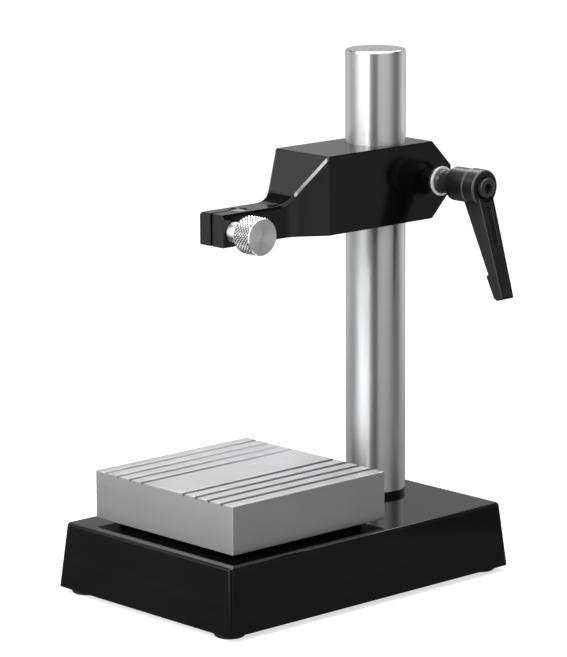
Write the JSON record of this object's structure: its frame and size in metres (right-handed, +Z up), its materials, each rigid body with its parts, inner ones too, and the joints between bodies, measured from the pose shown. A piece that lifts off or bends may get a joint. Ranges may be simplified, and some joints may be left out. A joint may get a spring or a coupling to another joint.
{
  "type": "dial indicator stand",
  "caption": "Comparator stand: heavy base on rubber feet, grooved measuring table, round column, and a split arm that slides, swivels and clamps a dial indicator's stem over the table.",
  "frame": {"origin": "under the middle of the base, on the surface that the feet stand on", "axes": "+Z up along the column, -Y the front with the table, +X the side with the clamp lever and the thumb screw"},
  "size_m": [0.1294, 0.1921, 0.2603],
  "materials": {
    "base_paint": "gloss black paint",
    "foot_rubber": "matte",
    "zinc_steel": "satin",
    "ground_steel": "ground",
    "black_steel": "black oxide",
    "column_steel": "ground and polished",
    "arm_aluminium": "black anodised, satin",
    "bush_bronze": "plain",
    "knurled_steel": "satin, diamond knurl",
    "bright_steel": "bright",
    "lever_coat": "fine texture, satin black"
  },
  "bodies": {
    "base": {"base": "base_paint", "foot_front_left": "foot_rubber", "foot_front_right": "foot_rubber", "foot_rear_left": "foot_rubber", "foot_rear_right": "foot_rubber", "foot_screws": "zinc_steel", "foot_washers": "zinc_steel", "table": "ground_steel", "table_screws": "black_steel", "table_washers": "zinc_steel", "column": "column_steel", "column_bolt": "black_steel", "column_washer": "zinc_steel"},
    "guide_bush": {"guide_bush": "bush_bronze"},
    "arm": {"arm": "arm_aluminium", "clamp_washer": "bright_steel"},
    "clamp_stud": {"clamp_insert": "black_steel", "lever_screw": "black_steel", "lever_spring": "zinc_steel"},
    "lever": {"lever_handle": "lever_coat"},
    "thumb_screw": {"thumb_screw": "knurled_steel"}
  },
  "joints": [
    {"name": "arm_height", "type": "slide", "parent": "base", "child": "guide_bush", "axis": [0, 0, 1], "range_m": [-0.075, 0.044]},
    {"name": "arm_swivel", "type": "hinge", "parent": "guide_bush", "child": "arm", "pos_m": [0, 0.0625, 0.1943], "axis": [0, 0, 1], "continuous": true},
    {"name": "lever_turn", "type": "hinge", "parent": "arm", "child": "clamp_stud", "pos_m": [0.0192, 0.0892, 0.1932], "axis": [1, 0, 0], "range_deg": [0, 180]},
    {"name": "lever_pull", "type": "slide", "parent": "clamp_stud", "child": "lever", "axis": [1, 0, 0], "range_m": [0, 0.004], "stiffness_N_per_m": 1500, "springref_m": -0.004, "deforming": ["lever_spring"]},
    {"name": "thumb_turn", "type": "hinge", "parent": "arm", "child": "thumb_screw", "pos_m": [0.0085, -0.04055, 0.1821], "axis": [1, 0, 0], "range_deg": [0, 360]}
  ]
}
